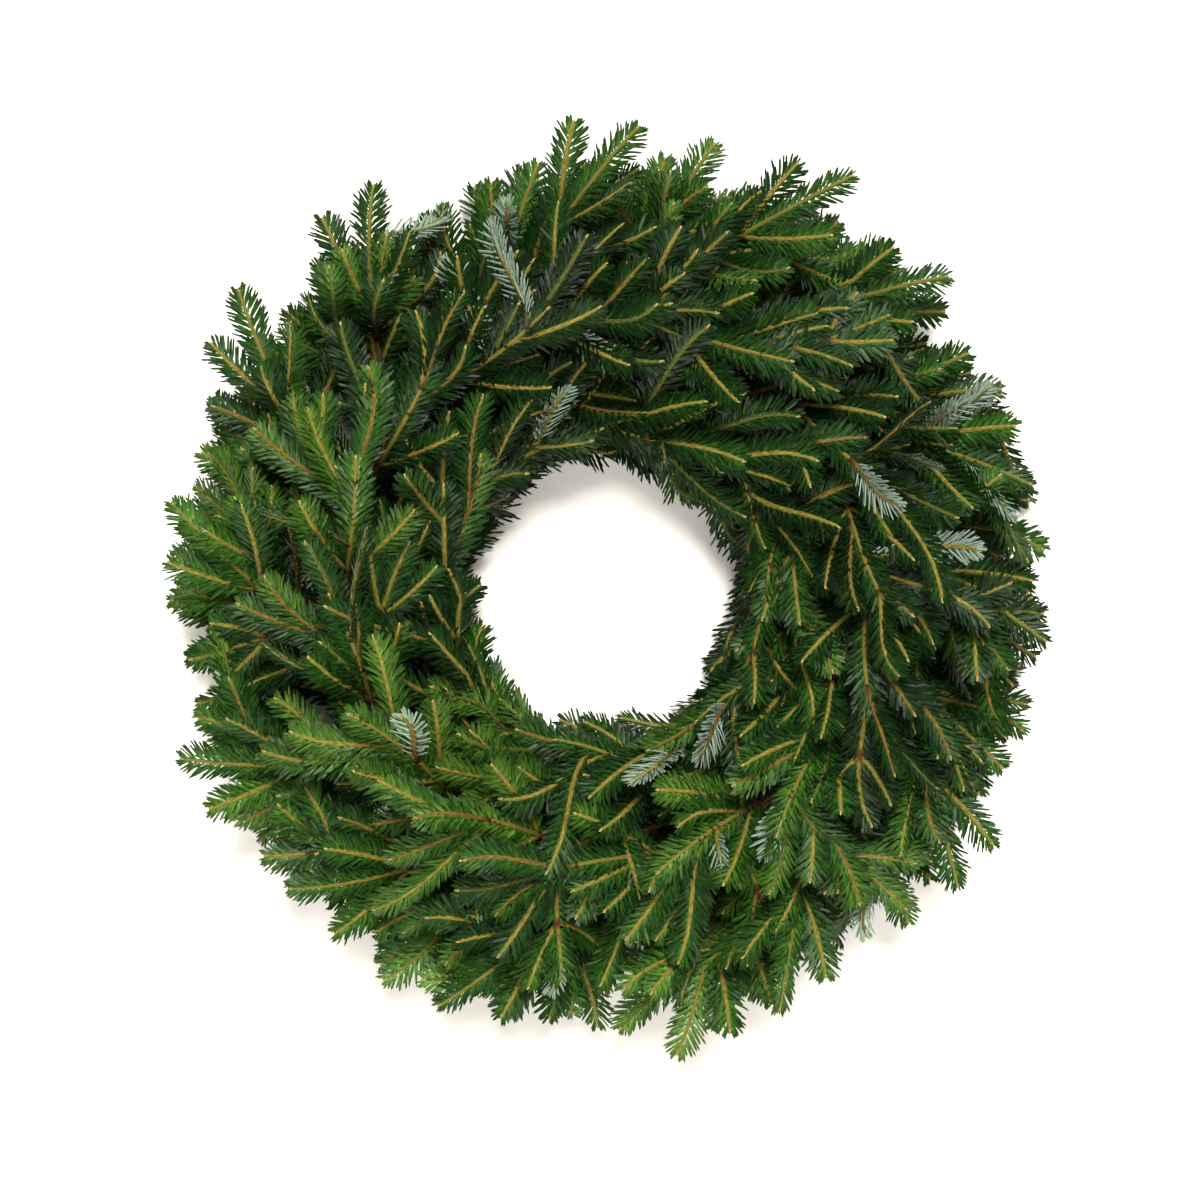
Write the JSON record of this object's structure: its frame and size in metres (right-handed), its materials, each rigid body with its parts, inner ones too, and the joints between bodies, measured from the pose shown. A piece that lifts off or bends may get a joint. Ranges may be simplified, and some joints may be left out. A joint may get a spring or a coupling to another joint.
{
  "type": "evergreen wreath",
  "caption": "Round wreath of fresh fir boughs, laid clockwise in bunches and clamped on a double-rail wire ring, with an open centre.",
  "frame": {"origin": "on the surface the wreath lies on, under the middle of its box; the ring's own axis passes within 2 mm of it", "axes": "+Z out of the wreath's face, +Y towards its top as it would hang, +X to its right as seen from the front"},
  "size_m": [0.5986, 0.6262, 0.1301],
  "materials": {
    "ring_wire": "satin green-painted steel wire",
    "fir_inner": "waxy dark green needles, tan twigs",
    "fir_crown": "waxy green needles, tan twigs",
    "fir_outer": "waxy green needles, tan twigs",
    "fir_rim": "waxy lighter green needles, tan twigs"
  },
  "bodies": {
    "root": {"ring_frame": "ring_wire", "bough_inner_01": "fir_inner", "bough_crown_01": "fir_crown", "bough_outer_01": "fir_outer", "bough_rim_01": "fir_rim", "bough_inner_02": "fir_inner", "bough_crown_02": "fir_crown", "bough_outer_02": "fir_outer", "bough_rim_02": "fir_rim", "bough_inner_03": "fir_inner", "bough_crown_03": "fir_crown", "bough_outer_03": "fir_outer", "bough_rim_03": "fir_rim", "bough_inner_04": "fir_inner", "bough_crown_04": "fir_crown", "bough_outer_04": "fir_outer", "bough_rim_04": "fir_rim", "bough_inner_05": "fir_inner", "bough_crown_05": "fir_crown", "bough_outer_05": "fir_outer", "bough_rim_05": "fir_rim", "bough_inner_06": "fir_inner", "bough_crown_06": "fir_crown", "bough_outer_06": "fir_outer", "bough_rim_06": "fir_rim", "bough_inner_07": "fir_inner", "bough_crown_07": "fir_crown", "bough_outer_07": "fir_outer", "bough_rim_07": "fir_rim", "bough_inner_08": "fir_inner", "bough_crown_08": "fir_crown", "bough_outer_08": "fir_outer", "bough_rim_08": "fir_rim", "bough_inner_09": "fir_inner", "bough_crown_09": "fir_crown", "bough_outer_09": "fir_outer", "bough_rim_09": "fir_rim", "bough_inner_10": "fir_inner", "bough_crown_10": "fir_crown", "bough_outer_10": "fir_outer", "bough_rim_10": "fir_rim", "bough_inner_11": "fir_inner", "bough_crown_11": "fir_crown", "bough_outer_11": "fir_outer", "bough_rim_11": "fir_rim", "bough_inner_12": "fir_inner", "bough_crown_12": "fir_crown", "bough_outer_12": "fir_outer", "bough_rim_12": "fir_rim", "bough_inner_13": "fir_inner", "bough_crown_13": "fir_crown", "bough_outer_13": "fir_outer", "bough_rim_13": "fir_rim", "bough_inner_14": "fir_inner", "bough_crown_14": "fir_crown", "bough_outer_14": "fir_outer", "bough_rim_14": "fir_rim"}
  },
  "joints": []
}
